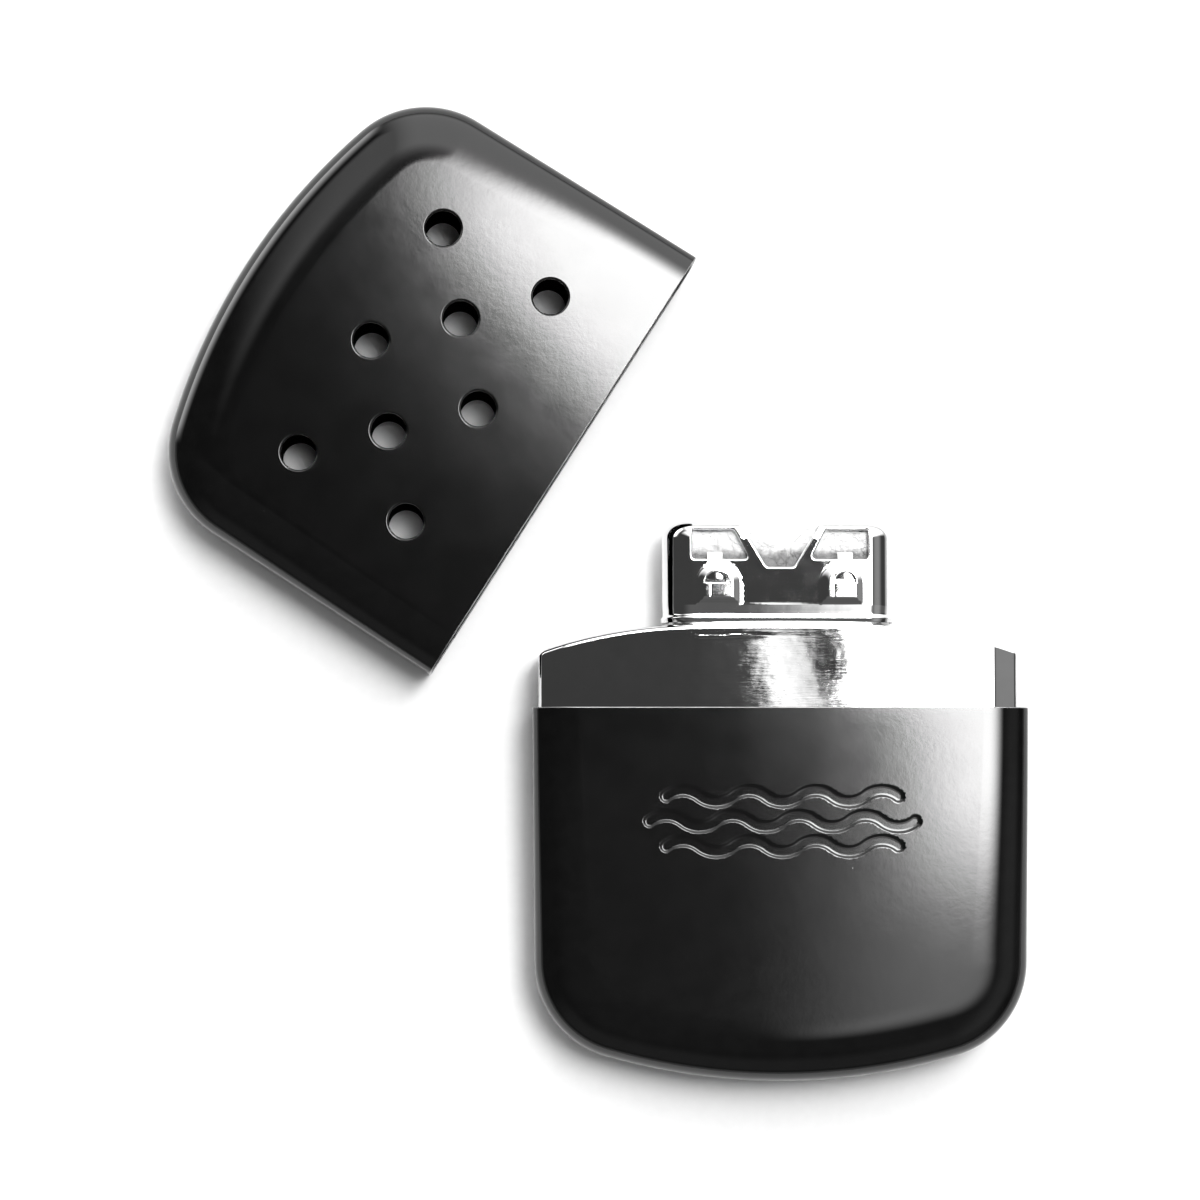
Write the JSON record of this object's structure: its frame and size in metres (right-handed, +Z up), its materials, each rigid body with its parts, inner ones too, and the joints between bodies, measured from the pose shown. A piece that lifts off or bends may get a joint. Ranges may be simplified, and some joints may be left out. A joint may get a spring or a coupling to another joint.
{
  "type": "catalytic hand warmer",
  "caption": "Pocket catalytic hand warmer lying flat and open: black drawn-steel fuel case with bright neck and clip-on burner, its vented lid taken off beside it.",
  "frame": {"origin": "centre of the flat back face of the fuel case, on the surface the object lies on, midway between its rim and the end of its crown and between its sides", "axes": "+X to the right, +Y from the case towards its burner, +Z up from the surface, through the thickness"},
  "size_m": [0.1145, 0.1299, 0.013],
  "materials": {
    "black_paint": "satin black enamel on drawn steel",
    "neck_chrome": "satin chrome with fine brush lines",
    "burner_chrome": "bright chrome",
    "collar_steel": "bright plated steel",
    "solder": "dull solder",
    "tray_steel": "plain rolled steel",
    "felt": "dense felt",
    "cotton": "loose wadding",
    "glass_wool": "platinum-treated glass wool"
  },
  "bodies": {
    "tank": {"outer_case": "black_paint", "tank_top": "neck_chrome", "tank_seam": "solder", "filler_collar": "collar_steel", "wick_felt": "felt", "wadding_left": "cotton", "wadding_centre": "cotton", "wadding_right": "cotton", "wadding_neck": "cotton"},
    "burner": {"burner_housing": "burner_chrome", "catalyst_tray": "tray_steel", "catalyst_mat": "glass_wool"},
    "lid": {"lid_shell": "black_paint"}
  },
  "joints": [
    {"name": "burner_pull", "type": "slide", "parent": "tank", "child": "burner", "axis": [0, 1, 0], "range_m": [0, 0.01]},
    {"name": "lid_slide", "type": "slide", "parent": "tank", "child": "lid", "axis": [-0.8429, 0.538, 0], "range_m": [-0.007, 0.03]}
  ]
}
